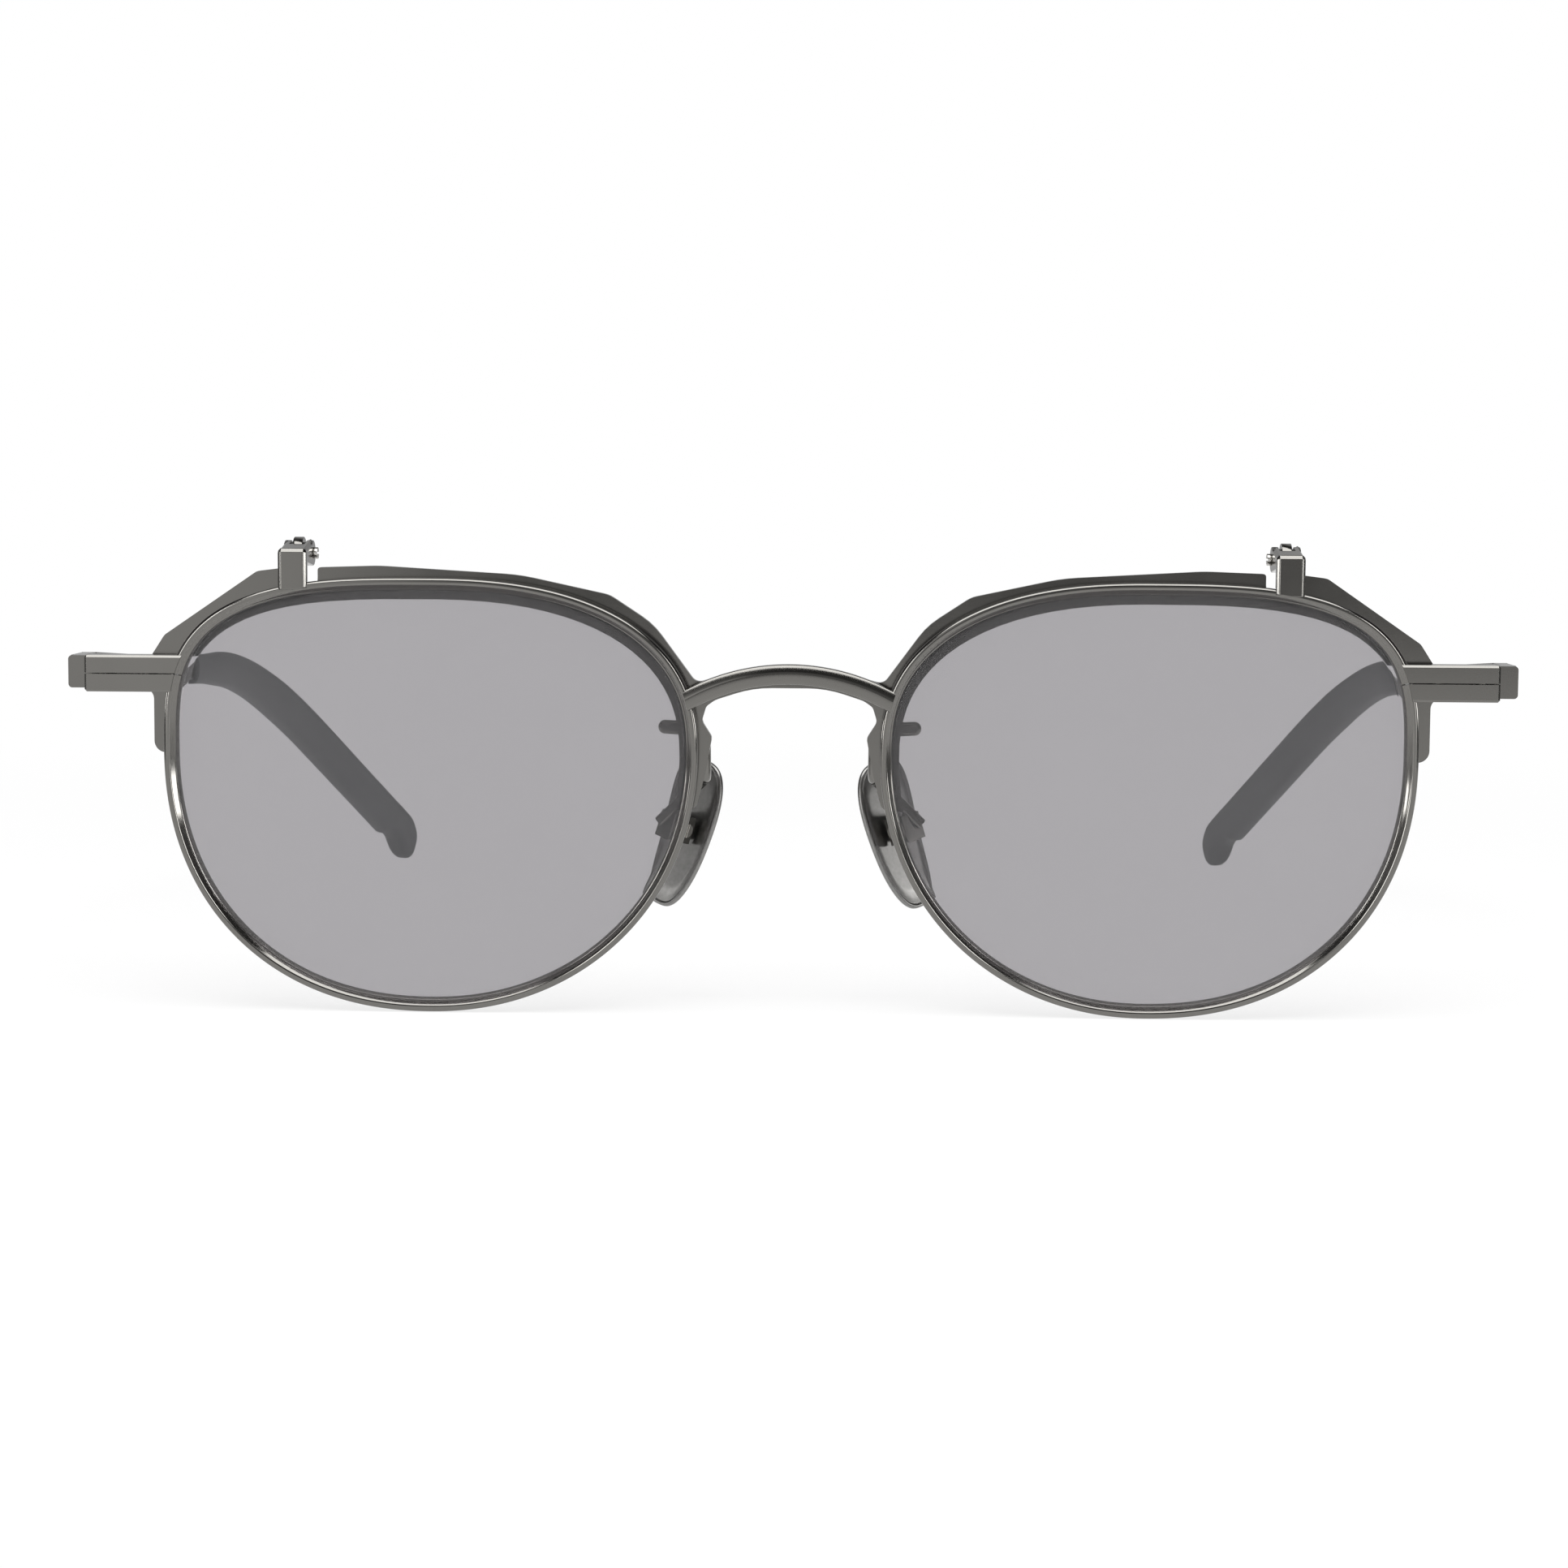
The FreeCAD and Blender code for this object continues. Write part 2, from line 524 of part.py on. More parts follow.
low_side = Part.makeBox(half_w, V["plate_thick"] + 4, arm_high)
low_side.translate(at(eye_x, plate_front - 2, 0))
hole = hole.fuse(trim.common(low_side))
plate = plate.cut(hole).cut(hole.mirror(Vector(0, 0, 0), Vector(1, 0, 0)))
rear_brow_plate = feature("rear_brow_plate", plate)

# End pieces, from the plate's ends back to the temple hinges
body = new_body("endpiece_left")
low = "%s - arm_height / 2" % LOCK_Z
slab(body, "XY_Plane", low, "arm_height", ARM_IN, "%s + %s" % (FRONT, PLATE_BACK),
     HALF_FRONT, "%s + %s" % (FRONT, JOINT))
endpiece_left = body
endpiece_right = mirrored(body, "endpiece_right")

# Temple hinge leaves: two barrels on the end piece, one on the temple
stack = "(hinge_height - hinge_head_thick)"
third = "(%s / 3)" % stack
near = PIN_Y + " - barrel_radius - joint_gap"
far = PIN_Y + " + barrel_radius + joint_gap"
body = new_body("temple_hinge_leaf_left")
slab(body, "XY_Plane", low, "hinge_height", ARM_IN + " - leaf_thick", near + " - leaf_length",
     ARM_IN, near)
for start in (low, "%s + 2 * %s + barrel_gap" % (low, third)):
    drum(body, "XY_Plane", start, third + " - barrel_gap", PIN_X, PIN_Y, "barrel_radius")
    slab(body, "XY_Plane", start, third + " - barrel_gap", PIN_X, near + " - 0.2", ARM_IN, PIN_Y)
drum(body, "XY_Plane", low, "hinge_height", PIN_X, PIN_Y, "hinge_pin_radius + running_fit",
     "Pocket")
hinge_leaf_left = body
hinge_leaf_right = mirrored(body, "temple_hinge_leaf_right")
body = new_body("temple_hinge_knuckle_blank")
slab(body, "XY_Plane", low, "hinge_height", ARM_IN + " - leaf_thick", far, ARM_IN,
     far + " + leaf_length")
start = "%s + %s" % (low, third)
drum(body, "XY_Plane", start, third, PIN_X, PIN_Y, "barrel_radius")
slab(body, "XY_Plane", start, third, PIN_X, PIN_Y + " + joint_gap", ARM_IN, far + " + 0.2")
drum(body, "XY_Plane", low, "hinge_height", PIN_X, PIN_Y, "hinge_pin_radius + running_fit",
     "Pocket")
knuckle_blank = body
body = new_body("temple_screw")
drum(body, "XY_Plane", low, stack, PIN_X, PIN_Y, "hinge_pin_radius")
top = "%s + %s" % (low, stack)
drum(body, "XY_Plane", top, "hinge_head_thick", PIN_X, PIN_Y, "hinge_head_radius")
slab(body, "XY_Plane", top + " + hinge_head_thick / 2", "hinge_head_thick",
     PIN_X + " - hinge_head_radius", PIN_Y + " - hinge_pin_radius / 4",
     PIN_X + " + hinge_head_radius", PIN_Y + " + hinge_pin_radius / 4", "Pocket")
temple_screws = join("temple_hinge_screws", [body, mirrored(body, "temple_screw_right")])


# Temples: a flat bar that slopes down to the back, then a wire core inside the tip
def heading(drop, turn):
    down = radians(drop)
    side = radians(turn)
    return Vector(-sin(side) * cos(down), cos(side) * cos(down), -sin(down))


def oval(centre, along, height, thick):
    """A rounded oblong across the path, upright height by thickness."""
    side = along.cross(Vector(0, 0, 1)).normalize()
    up = side.cross(along).normalize()
    points = []
    for k in range(16):
        c = cos(2 * pi * k / 16)
        s = sin(2 * pi * k / 16)
        reach = (abs(c) ** 2.6 + abs(s) ** 2.6) ** (-1 / 2.6)
        points.append(centre + side * (reach * c * thick / 2) + up * (reach * s * height / 2))
    curve = Part.BSplineCurve()
    curve.interpolate(Points=points, PeriodicFlag=True)
    return Part.Wire(curve.toShape())


straight = heading(V["temple_slope"], V["temple_inset"])
drooped = heading(V["tip_drop"], V["tip_turn"])
root = at(half_front - V["arm_wall"] / 2, joint + V["joint_gap"], lock_z)
half_turn = straight.getAngle(drooped) / 2
tangent = V["bend_radius"] * tan(half_turn)


# The tip's end in shares of its height: way back from the end, upper edge and lower edge
# counted down from the top line, and share of its thickness; a notch, then a hooked round end
TIP_END = (
    (2.3, 0.0, 1.0, 1.0), (1.67, 0.0, 1.0, 1.0), (1.61, 0.0, 0.94, 1.0), (1.23, 0.0, 0.877, 1.0),
    (0.81, 0.0, 0.96, 1.0), (0.62, 0.01, 1.015, 1.0), (0.42, 0.09, 1.035, 1.0),
    (0.23, 0.245, 1.025, 0.94), (0.115, 0.385, 0.995, 0.75), (0.03, 0.57, 0.93, 0.4),
    (0.0, 0.7, 0.86, 0.25),
)


def tip_shape(corner, end):
    """The tip's skin: rounded oblongs along the bar, round the bend and down to a round end."""
    full = (V["tip_height"], V["tip_thick"])
    mouth = (V["tip_mouth_height"], V["tip_mouth_thick"])
    start = root + straight * ((V["tip_start"] - joint) / straight.y)
    turn_in = corner - straight * tangent
    sections = [(start, Vector(0, 1, 0), mouth), (start + (turn_in - start) * 0.5, straight, mouth)]
    hub = turn_in + (drooped - straight * (drooped * straight)).normalize() * V["bend_radius"]
    for k in range(7):
        angle = 2 * half_turn * k / 6
        along = (straight * sin(2 * half_turn - angle) + drooped * sin(angle)).normalize()
        place = hub + (turn_in - hub) * cos(angle) + straight * (V["bend_radius"] * sin(angle))
        share = min(1.0, k / 4)
        size = [a + (b - a) * (0.4 + 0.6 * share) for a, b in zip(mouth, full)]
        sections.append((place, along, size))
    below = drooped.cross(Vector(0, 0, 1)).cross(drooped).normalize() * -V["tip_height"]
    for back, over, under, thin in TIP_END:
        place = end - drooped * (back * V["tip_height"]) + below * ((over + under) / 2 - 0.5)
        sections.append((place, drooped, ((under - over) * full[0], thin * full[1])))
    return Part.makeLoft([oval(p, d, *size) for p, d, size in sections], True, True)


# The run lengths follow from the overall depth and from the tip standing on the ground.
bar_run = V["overall_depth"] - joint - 40
tip_run = 40.0
for _ in range(3):
    corner = root + straight * bar_run
    end = corner + drooped * tip_run
    tip = tip_shape(corner, end)
    box = tip.optimalBoundingBox()
    longer = box.ZMin / -drooped.z
    tip_run += longer
    bar_run += (front + V["overall_depth"] - box.YMax - longer * drooped.y) / straight.y
corner = root + straight * bar_run
end = corner + drooped * tip_run
tip = tip_shape(corner, end)


def bar_ends(centre, height, thick):
    side = Vector(thick / 2, 0, 0)
    up = Vector(0, 0, height / 2)
    return [centre - side - up, centre + side - up, centre + side + up, centre - side + up]


def flat_bar(first, last):
    """A six sided bar between two upright oblongs, every side a true plane."""
    sides = [first, last]
    for k in range(4):
        after = (k + 1) % 4
        sides.append([first[k], first[after], last[after], last[k]])
    shell = Part.makeShell([Part.Face(Part.makePolygon(s + s[:1])) for s in sides])
    return Part.makeSolid(shell)


step = root + straight * ((V["tip_start"] - V["neck_step"] - joint) / straight.y)
neck_end = step + straight * (V["neck_step"] + V["neck_length"])
bar = flat_bar(bar_ends(root, V["arm_height"], V["arm_wall"]),
               bar_ends(step, V["temple_height"], V["temple_thick"]))
slim = (0.75 * V["temple_height"], 0.7 * V["temple_thick"])
neck = flat_bar(bar_ends(step - straight * V["neck_step"], *slim), bar_ends(neck_end, *slim))
core_end = end - drooped * V["core_short"]
core = rod([neck_end - straight, corner, core_end], V["bend_radius"], V["core_radius"])
temple_left = feature("temple_left", bar.fuse([neck, core]).removeSplitter())
temple_right = mirrored(temple_left, "temple_right")
tip_left = feature("temple_tip_left", tip.cut(temple_left.Shape))
tip_right = mirrored(tip_left, "temple_tip_right")
knuckle_left = cut("temple_hinge_knuckle_left", knuckle_blank, temple_left)
knuckle_right = mirrored(knuckle_left, "temple_hinge_knuckle_right")

# Nose pads, drawn flat about their screw's middle, then turned into place
pad_spin = Rotation(Vector(0, 1, 0), -V["pad_lean"]) * Rotation(Vector(0, 0, 1), V["pad_turn"])
pad_place = Placement(at(V["pad_x"], V["pad_depth"], V["pad_level"]), pad_spin)


def pad_box(u0, u1, v0, v1, n0, n1):
    """A block in the pad's own frame: u across from the box, v up, n out towards the frame."""
    return Part.makeBox(u1 - u0, n1 - n0, v1 - v0, Vector(u0 - V["box_shift"], -n1, v0))


def pad_pin(u0, u1, radius):
    foot = Vector(u0 - V["box_shift"], -V["pad_pin_level"], V["box_rise"])
    return Part.makeCylinder(radius, u1 - u0, foot, Vector(1, 0, 0))


def pad_leaf(inset, start, thick):
    """The pad's drop shaped outline, drawn in from its edge and given a thickness."""
    points = []
    for k in range(24):
        c = cos(2 * pi * k / 24)
        s = sin(2 * pi * k / 24)
        reach = (abs(c) ** V["pad_power"] + abs(s) ** V["pad_power"]) ** (-1 / V["pad_power"])
        rise = reach * s
        wide = (V["pad_width"] / 2 - inset) * (1 + V["pad_taper"] * rise)
        points.append(Vector(reach * c * wide - V["pad_bow"] * (1 - rise * rise), start,
                             rise * (V["pad_height"] / 2 - inset)))
    curve = Part.BSplineCurve()
    curve.interpolate(Points=points, PeriodicFlag=True)
    return Part.Face(Part.Wire(curve.toShape())).extrude(Vector(0, thick, 0))


pad = pad_leaf(0, 0, V["pad_thick"])
pad = pad.makeFillet(V["pad_edge"], [e for e in pad.Edges if e.BoundBox.YLength < 1e-3])
pad = pad.cut(pad_leaf(V["pad_roll"], -1, 1 + V["pad_dish"]))
pad = pad.cut(pad_leaf(V["pad_roll"], V["pad_thick"] - V["pad_dish"], 1))
half_tongue = V["tongue_width"] / 2
rise = V["box_rise"]
tongue = pad_box(-half_tongue, half_tongue, rise - V["tongue_height"] / 2,
                 rise + V["tongue_height"] / 2, -V["pad_thick"] / 2, V["tongue_length"])
pad = pad.fuse(tongue).cut(pad_pin(-9, 9, V["pad_pin_radius"] + V["running_fit"]))
nose_pad_left = feature("nose_pad_left", pad.removeSplitter())
nose_pad_left.Placement = pad_place
nose_pad_right = mirrored(nose_pad_left, "nose_pad_right")

# Pad arms: a bar behind the plate, a bent wire and a box around the pad's tongue
wall_in = half_tongue + V["box_gap"]
wall_out = wall_in + V["box_wall"]
low_v = rise - V["box_height"] / 2
high_v = rise + V["box_height"] / 2
web = V["tongue_length"] + 0.4
crib = pad_box(-wall_out, wall_out, low_v, high_v, 0.4, web + V["box_wall"])
room = pad_box(-wall_in, wall_in, low_v - 1, high_v + 1, 0, web)
room = room.fuse(pad_pin(-9, 9, V["pad_pin_radius"] + V["running_fit"]))
crib.Placement = pad_place
room.Placement = pad_place
hold_at = pad_place.multVec(Vector(V["wire_end"] - V["box_shift"],
                                   -web - V["wire_radius"] - 0.1, rise))
bar_y = plate_back + V["bar_radius"]
arm = rod([at(V["bar_reach"], bar_y, bar_z), at(nose_x - 0.55, bar_y, bar_z - 0.2),
           at(nose_x - 0.6, bar_y + 0.3, bar_z - 5.2), at(nose_x - 0.4, bar_y + 4.0, bar_z - 5.6),
           hold_at], V["wire_bend"], V["wire_radius"])
stub = at(V["bar_reach"], bar_y, bar_z)
stub_run = at(nose_x - 0.55, bar_y, bar_z - 0.2) - stub
arm = arm.fuse([Part.makeCylinder(V["bar_radius"], stub_run.Length - V["wire_bend"], stub, stub_run),
                Part.makeSphere(V["bar_radius"], stub)])
pad_arm_left = feature("pad_arm_left", arm.fuse(crib.cut(room)).removeSplitter())
pad_arm_right = mirrored(pad_arm_left, "pad_arm_right")
pin = pad_pin(-wall_out, wall_out, V["pad_pin_radius"])
head = pad_pin(-wall_out - V["pad_head_thick"], -wall_out, V["pad_head_radius"])
slit = pad_box(-wall_out - V["pad_head_thick"], -wall_out - V["pad_head_thick"] / 2, rise - 2,
               rise + 2, V["pad_pin_level"] - 0.1, V["pad_pin_level"] + 0.1)
pad_screw = feature("pad_screw", pin.fuse(head).cut(slit))
pad_screw.Placement = pad_place
pad_screws = join("nose_pad_screws", [pad_screw, mirrored(pad_screw, "pad_screw_right")])

# The finished pieces, each written to a file named by its label
NODES = {
    "rear_brow_plate": rear_brow_plate,
    "endpiece_left": endpiece_left, "endpiece_right": endpiece_right,
    "temple_hinge_leaf_left": hinge_leaf_left, "temple_hinge_leaf_right": hinge_leaf_right,
    "temple_hinge_screws": temple_screws,
    "flip_knuckle_left": flip_knuckle_left, "flip_knuckle_right": flip_knuckle_right,
    "pad_arm_left": pad_arm_left, "pad_arm_right": pad_arm_right, "nose_pad_screws": pad_screws,
    "nose_pad_left": nose_pad_left, "nose_pad_right": nose_pad_right,
    "temple_left": temple_left, "temple_right": temple_right,
    "temple_tip_left": tip_left, "temple_tip_right": tip_right,
    "temple_hinge_knuckle_left": knuckle_left, "temple_hinge_knuckle_right": knuckle_right,
    "rim_left": rim_left, "rim_right": rim_right,
    "lens_left": lens_left, "lens_right": lens_right,
    "front_bridge": front_bridge,
    "lock_block_upper_left": blocks["upper"][0], "lock_block_upper_right": blocks["upper"][1],
    "lock_block_lower_left": blocks["lower"][0], "lock_block_lower_right": blocks["lower"][1],
    "lock_screws": lock_screws,
    "flip_bracket_left": flip_bracket_left, "flip_bracket_right": flip_bracket_right,
    "flip_hinge_screws": flip_screws, "flip_hinge_washers": flip_washers,
}
doc.recompute()
for name, piece in NODES.items():
    piece.Label = name
failed = [o.Name for o in doc.Objects if "Invalid" in o.State or "Error" in o.State]
failed += [n for n, o in NODES.items() if o.Shape.isNull() or not o.Shape.isValid()]
if failed:
    raise RuntimeError("pieces that failed: " + ", ".join(failed))
os.makedirs("parts", exist_ok=True)
for name, piece in NODES.items():
    piece.Shape.exportStep("parts/%s.step" % name)
    size = piece.Shape.optimalBoundingBox()
    print("%-28s %2d %9.3f" % (name, len(piece.Shape.Solids), piece.Shape.Volume),
          [round(v, 2) for v in (size.XMin, size.XMax, size.YMin - front, size.YMax - front,
                                 size.ZMin, size.ZMax)])
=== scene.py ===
from math import atan, cos, pi, radians, sin

import bpy
import numpy as np
from mathutils import Matrix, Vector


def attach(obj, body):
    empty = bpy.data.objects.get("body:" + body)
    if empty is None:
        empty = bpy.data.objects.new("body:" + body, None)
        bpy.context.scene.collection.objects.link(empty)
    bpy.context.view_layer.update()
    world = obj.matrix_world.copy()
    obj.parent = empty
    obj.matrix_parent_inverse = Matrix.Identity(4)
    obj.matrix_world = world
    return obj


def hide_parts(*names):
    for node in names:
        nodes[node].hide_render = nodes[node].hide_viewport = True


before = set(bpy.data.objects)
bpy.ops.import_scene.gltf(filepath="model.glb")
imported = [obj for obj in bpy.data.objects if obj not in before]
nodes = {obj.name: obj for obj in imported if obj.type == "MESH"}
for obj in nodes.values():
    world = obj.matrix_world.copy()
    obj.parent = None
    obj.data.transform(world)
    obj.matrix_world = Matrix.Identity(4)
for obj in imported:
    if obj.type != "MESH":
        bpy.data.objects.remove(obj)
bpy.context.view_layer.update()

# Flip up sunglasses: finer surfaces stand in for the rims, lenses, bridge, tips and pads. Every
# other solid gets a finish, and most get rounded edges. Then come floor, lamps, world and camera.

# Left and right are the wearer's; the right half mirrors the left one
HANDS = ((1, "left"), (-1, "right"))

# Sizes in millimetres, depths counted back from the front plane of the solids
MM = 0.001
HALF_DEPTH = 68.0

# Eye outline: four superellipse quarters about a point on the lens
EYE_X = 36.25
HALF_WIDTH = 27.05
CROWN = 17.35
BOWL = 26.75
BOWL_NOSE_POWER = 2.08
BOWL_SIDE_POWER = 2.19
CROWN_NOSE_POWER = 2.36
CROWN_SIDE_POWER = 3.1

# Rim, split at the lock line; its section is (out from the lens edge, depth), from the lens
# over the front, the outside and the back to the groove
RIM_WIDTH = 1.15
RIM_STEPS = 361
SPLIT_LEVEL = 34.25
SPLIT_GAP = 0.12
RIM_SECTION = (
    (0.00, 1.00), (0.01, 0.95), (0.10, 0.93), (0.13, 0.90), (0.43, 0.445), (0.455, 0.41),
    (0.475, 0.39), (0.49, 0.378), (0.60, 0.336), (0.615, 0.332), (0.63, 0.33), (0.80, 0.33),
    (0.84, 0.335), (0.90, 0.35), (0.96, 0.375), (1.01, 0.405), (1.05, 0.44), (1.09, 0.485),
    (1.12, 0.535), (1.14, 0.59), (1.15, 0.66), (1.15, 2.45), (1.13, 2.54), (1.04, 2.60),
    (0.11, 2.60), (0.02, 2.54), (0.00, 2.45), (0.00, 1.85), (0.45, 1.45), (0.00, 1.05),
)

# Lens: two nested balls, an edge just inside the rim, and a ridge in the rim's groove
LENS_CURVE = 400.0
LENS_THICK = 1.4
LENS_FRONT = 0.1
LENS_MID = 22.05
LENS_EDGE = -0.03
LENS_RINGS = 24
LENS_STEPS = 192
RIDGE_DEPTH = 1.45
RIDGE_OUT = 0.42

# Bridge: an arc about a point below it, with its ends on a stretch of the eye outlines that is
# given in half turns; its section is (out from the arc, depth), from the top over the front
BRIDGE_RADIUS = 21.187
BRIDGE_FOOT = 13.463
BRIDGE_COVER = 0.6
BRIDGE_STEPS = 73
STRETCH_START = 0.72
STRETCH_END = 1.15
STRETCH_STEPS = 80
BRIDGE_SECTION = (
    (1.00, 1.40), (1.00, 0.56), (0.99, 0.48), (0.965, 0.42), (0.92, 0.36), (0.86, 0.32),
    (0.30, 0.13), (0.24, 0.112), (0.18, 0.10), (0.10, 0.093), (0.04, 0.09), (-0.70, 0.11),
    (-0.77, 0.115), (-0.84, 0.13), (-0.90, 0.16), (-0.95, 0.205), (-0.98, 0.25), (-1.00, 0.32),
    (-1.00, 1.40), (-0.90, 1.50), (0.90, 1.50),
)

# Temple tip: a rounded oblong carried along a straight run, a bend and a drooping run
TIP_ROOT = (72.75, 9.1, 34.25)
TIP_START = 57.1
TIP_CORNER = (71.26, 92.64, 29.26)
TIP_END = (56.43, 135.22, 2.38)
TIP_BEND = 67.8
TIP_HEIGHT = 5.1
TIP_THICK = 3.4
TIP_POWER = 2.8
MOUTH_HEIGHT = 3.5
MOUTH_THICK = 2.2

# How far the tip has grown from its mouth to its full size, by the share of the run or bend
RUN_GROWTH = ((0, 0.5, 1), (0, 0, 0.4))
BEND_GROWTH = ((0, 0.67), (0.4, 1))

# Rows and ring of the tip; the hook's rows are (first, last, how many), then the round end's
TIP_RING = 40
RUN_ROWS = 16
BEND_ROWS = 40
HOOK_START = 10.0
HOOK_ROWS = (9.6, 0.6, 46)
END_ROWS = (0.45, 0.3, 0.2, 0.1, 0.04, 0.0)

# Tip's end, by the way back from it: how far its lower and upper edge lie below the top line,
# over how much of it the thickness eases, and any way back at which the tip is plain
TIP_UNDER = (
    (0.0, 4.3), (0.1, 4.8), (0.3, 5.15), (0.6, 5.4), (1.2, 5.65), (2.2, 5.75), (3.2, 5.62),
    (4.1, 5.2), (4.8, 4.82), (5.5, 4.6), (6.3, 4.52), (7.1, 4.58), (7.8, 4.72), (8.3, 4.95),
    (8.5, 5.15), (8.62, 5.2), (12.0, 5.2),
)
TIP_OVER = (
    (0.0, 4.1), (0.1, 3.2), (0.3, 2.6), (0.6, 2.0), (1.15, 1.33), (1.6, 0.9), (2.0, 0.6),
    (2.6, 0.25), (3.1, 0.06), (3.5, 0.0), (12.0, 0.0),
)
TIP_EASE = 1.8
TIP_EASE_MOST = 0.97
FAR_BACK = 99.0

# Nose pad, in a frame of its own turned into place; its section runs from the middle of the
# back over the rolled edge to the middle of the front:
# (share of the outline, inset, height out of the back)
PAD_PLACE = (11.6, 12.0, 17.45)
PAD_TURN = radians(43.0)
PAD_LEAN = radians(17.0)
PAD_WIDTH = 6.95
PAD_HEIGHT = 16.0
PAD_POWER = 3.2
PAD_TAPER = 0.18
PAD_BOW = 0.8
PAD_STEPS = 120
PAD_SECTION = (
    (0.02, 0.0, -0.1), (0.35, 0.0, -0.1), (0.7, 0.0, -0.1), (1.0, 0.62, -0.1),
    (1.0, 0.52, -0.14), (1.0, 0.46, -0.14), (1.0, 0.4, -0.04), (1.0, 0.34, 0.0),
    (1.0, 0.22, 0.0), (1.0, 0.12, -0.04), (1.0, 0.04, -0.13), (1.0, 0.0, -0.24),
    (1.0, 0.0, -0.36), (1.0, 0.04, -0.47), (1.0, 0.12, -0.56), (1.0, 0.22, -0.6),
    (1.0, 0.36, -0.6), (1.0, 0.48, -0.53), (1.0, 0.62, -0.5), (0.7, 0.0, -0.5),
    (0.35, 0.0, -0.5), (0.02, 0.0, -0.5),
)

# Tongue on the pad's back, in the pad's frame; its section is (inset, height out of the back)
TONGUE_PLACE = (-1.0, 0.6)
TONGUE_SIZE = (1.2, 2.2)
TONGUE_POWER = 6
TONGUE_STEPS = 32
TONGUE_SECTION = ((0.0, -0.3), (0.0, 1.9), (0.05, 2.15), (0.2, 2.28), (0.4, 2.3))

# Edges: sharper ones than this stay sharp on new pieces; on solids, points this close are
# merged, faces this flat are joined, and edges sharper than this are rounded
SHARP_ANGLE = radians(82.0)
MERGE_REACH = 0.0001
FLAT_ANGLE = radians(0.3)
ROUND_ANGLE = radians(32.0)
ROUND_SEGMENTS = 2

# Finishes: how much a grey leans to yellow, and the lens's share that scatters light
METAL_WARMTH = 0.03
PAD_WARMTH = 0.015
SLEEVE_WARMTH = -0.03
MILKY_SHARE = 0.04

# Floor: a strip under the object, as (start, end, points) across and back; how plain a white
# it looks goes from the least up to 1 with the way from the middle
FLOOR_WIDTH = (-300, 300, 7)
FLOOR_DEPTH = (-680, 480, 30)
FLOOR_LEVEL = -0.05
PLAIN_START = 100.0
PLAIN_END = 300.0
PLAIN_LEAST = 0.8

# World: the light on dull surfaces, and the room that polished metal sees. Each side of the
# room is (start, end, level before, level after) by the way along one axis; the rear's level
# is how much of the plain rear light takes over
DULL_LIGHT = 0.3
ROOM_LEAST = 0.03
ROOM_FRONT = (-0.17, -0.11, 1.0, 0.24)
ROOM_LEFT = (-0.7, -0.35, 0.25, 1.0)
ROOM_RIGHT = (0.35, 0.65, 1.0, 0.5)
ROOM_CEILING = (0.3, 0.6, 1.0, 0.12)
ROOM_REAR = (0.4, 0.8, 0.0, 1.0)
REAR_LIGHT = 0.5

# Soft boxes in metres: place, point that it faces, width and height, how bright its face looks
MIDDLE = (0, -0.06, 0.03)
SOFT_BOXES = {
    "left panel": ((-0.9, -0.21, 0.06), (0, -0.21, 0.06), (0.22, 0.1), 8.0),
    "right panel": ((0.9, -0.22, 0.09), (0, -0.22, 0.09), (0.34, 0.16), 8.0),
    "left strip": ((-0.55, -0.95, 0.2), MIDDLE, (0.16, 0.6), 7.0),
    "right strip": ((0.55, -0.95, 0.2), MIDDLE, (0.16, 0.6), 7.0),
    "top panel": ((0.0, -0.4, 0.87), MIDDLE, (1.1, 0.8), 4.0),
}

# Camera: fitted to the photograph, whose side and focal length are in pixels
CAMERA_FAR = 340.0
CAMERA_AZIMUTH = radians(1.321)
CAMERA_ELEVATION = radians(5.317)
CAMERA_ROLL = radians(0.375)
CAMERA_AIM = (-0.437, 0.0, 23.632)
CAMERA_NEAREST = 10.0
PICTURE = 1932
PICTURE_FOCAL = 4157.6


class Wire:
    """A socket that takes part in sums; each operator adds one Math node."""

    def __init__(self, finish, socket):
        self.finish = finish
        self.socket = socket

    def combine(self, operation, other):
        return self.finish.node("Math", {0: self, 1: other}, {"operation": operation})

    def __add__(self, other):
        return self.combine("ADD", other)

    def __sub__(self, other):
        return self.combine("SUBTRACT", other)

    def __mul__(self, other):
        return self.combine("MULTIPLY", other)

    __radd__ = __add__
    __rmul__ = __mul__


